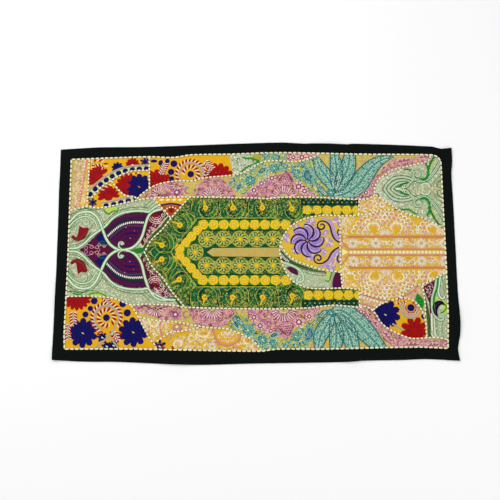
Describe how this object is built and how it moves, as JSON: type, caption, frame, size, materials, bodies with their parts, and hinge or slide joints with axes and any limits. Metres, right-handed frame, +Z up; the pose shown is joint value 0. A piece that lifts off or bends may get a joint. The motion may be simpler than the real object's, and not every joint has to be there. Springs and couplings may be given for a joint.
{
  "type": "embroidered tapestry",
  "caption": "Long patchwork tapestry of embroidered and brocade cloth pieces with a black cotton border and a cream cord couched over the seams, lying flat, face up.",
  "frame": {"origin": "under the middle of the cloth, on the surface it lies on", "axes": "+X to the right along the length of the face, +Y towards its top edge, +Z up out of the face"},
  "size_m": [1.02, 0.5721, 0.0072],
  "materials": {
    "black_cotton": "plain black cotton",
    "orange_embroidered": "orange cotton with satin-stitch flowers in red, navy and cream",
    "gold_brocade": "gold silk with woven lace and flowers",
    "mint_embroidered": "pale mint silk with embroidered scrolls",
    "teal_brocade": "printed silk in teal, rose and mustard",
    "rose_brocade": "printed silk with rose fans and teal leaves on mustard",
    "cream_brocade": "gold silk with cream lace pattern",
    "green_brocade": "green and yellow brocade",
    "pale_rose_brocade": "pale rose silk with lace",
    "couched_cord": "cream cotton cord, sewn down"
  },
  "bodies": {
    "root": {"border_top": "black_cotton", "border_bottom": "black_cotton", "border_left": "black_cotton", "border_right": "black_cotton", "gold_strip": "gold_brocade", "fan_outer": "orange_embroidered", "fan_left": "orange_embroidered", "fan_right": "orange_embroidered", "scroll_band": "orange_embroidered", "mint_wedge": "mint_embroidered", "teal_sliver": "teal_brocade", "rose_band_upper": "rose_brocade", "mint_corner": "mint_embroidered", "cream_small": "cream_brocade", "green_panel": "green_brocade", "gold_lozenge": "gold_brocade", "mint_crescent": "mint_embroidered", "cream_main": "cream_brocade", "cream_wedge": "pale_rose_brocade", "corner_flowers": "orange_embroidered", "pink_wedge": "pale_rose_brocade", "mint_stripe": "mint_embroidered", "rose_band_lower": "rose_brocade", "orange_corner": "orange_embroidered", "paisley_upper": "cream_brocade", "paisley_lower": "cream_brocade", "orange_sliver": "orange_embroidered", "mint_left": "mint_embroidered", "orange_triangle": "orange_embroidered", "cord_hem_top": "couched_cord", "cord_hem_bottom": "couched_cord", "cord_side_left": "couched_cord", "cord_side_right": "couched_cord", "cord_corner_right": "couched_cord", "cord_upper_long": "couched_cord", "cord_lower_long": "couched_cord", "cord_strip": "couched_cord", "cord_shoulder": "couched_cord", "cord_vertical": "couched_cord", "cord_arc": "couched_cord", "cord_fan_split": "couched_cord", "cord_hex_left": "couched_cord", "cord_triangle_left": "couched_cord", "cord_bell": "couched_cord", "cord_green_end": "couched_cord", "cord_gold_side": "couched_cord", "cord_gold_bottom": "couched_cord", "cord_yellow_bottom": "couched_cord", "cord_flower_left": "couched_cord", "cord_flower_right": "couched_cord", "cord_stripe_left": "couched_cord", "cord_orange_right": "couched_cord", "cord_paisley_top": "couched_cord", "cord_paisley_split": "couched_cord"}
  },
  "joints": []
}
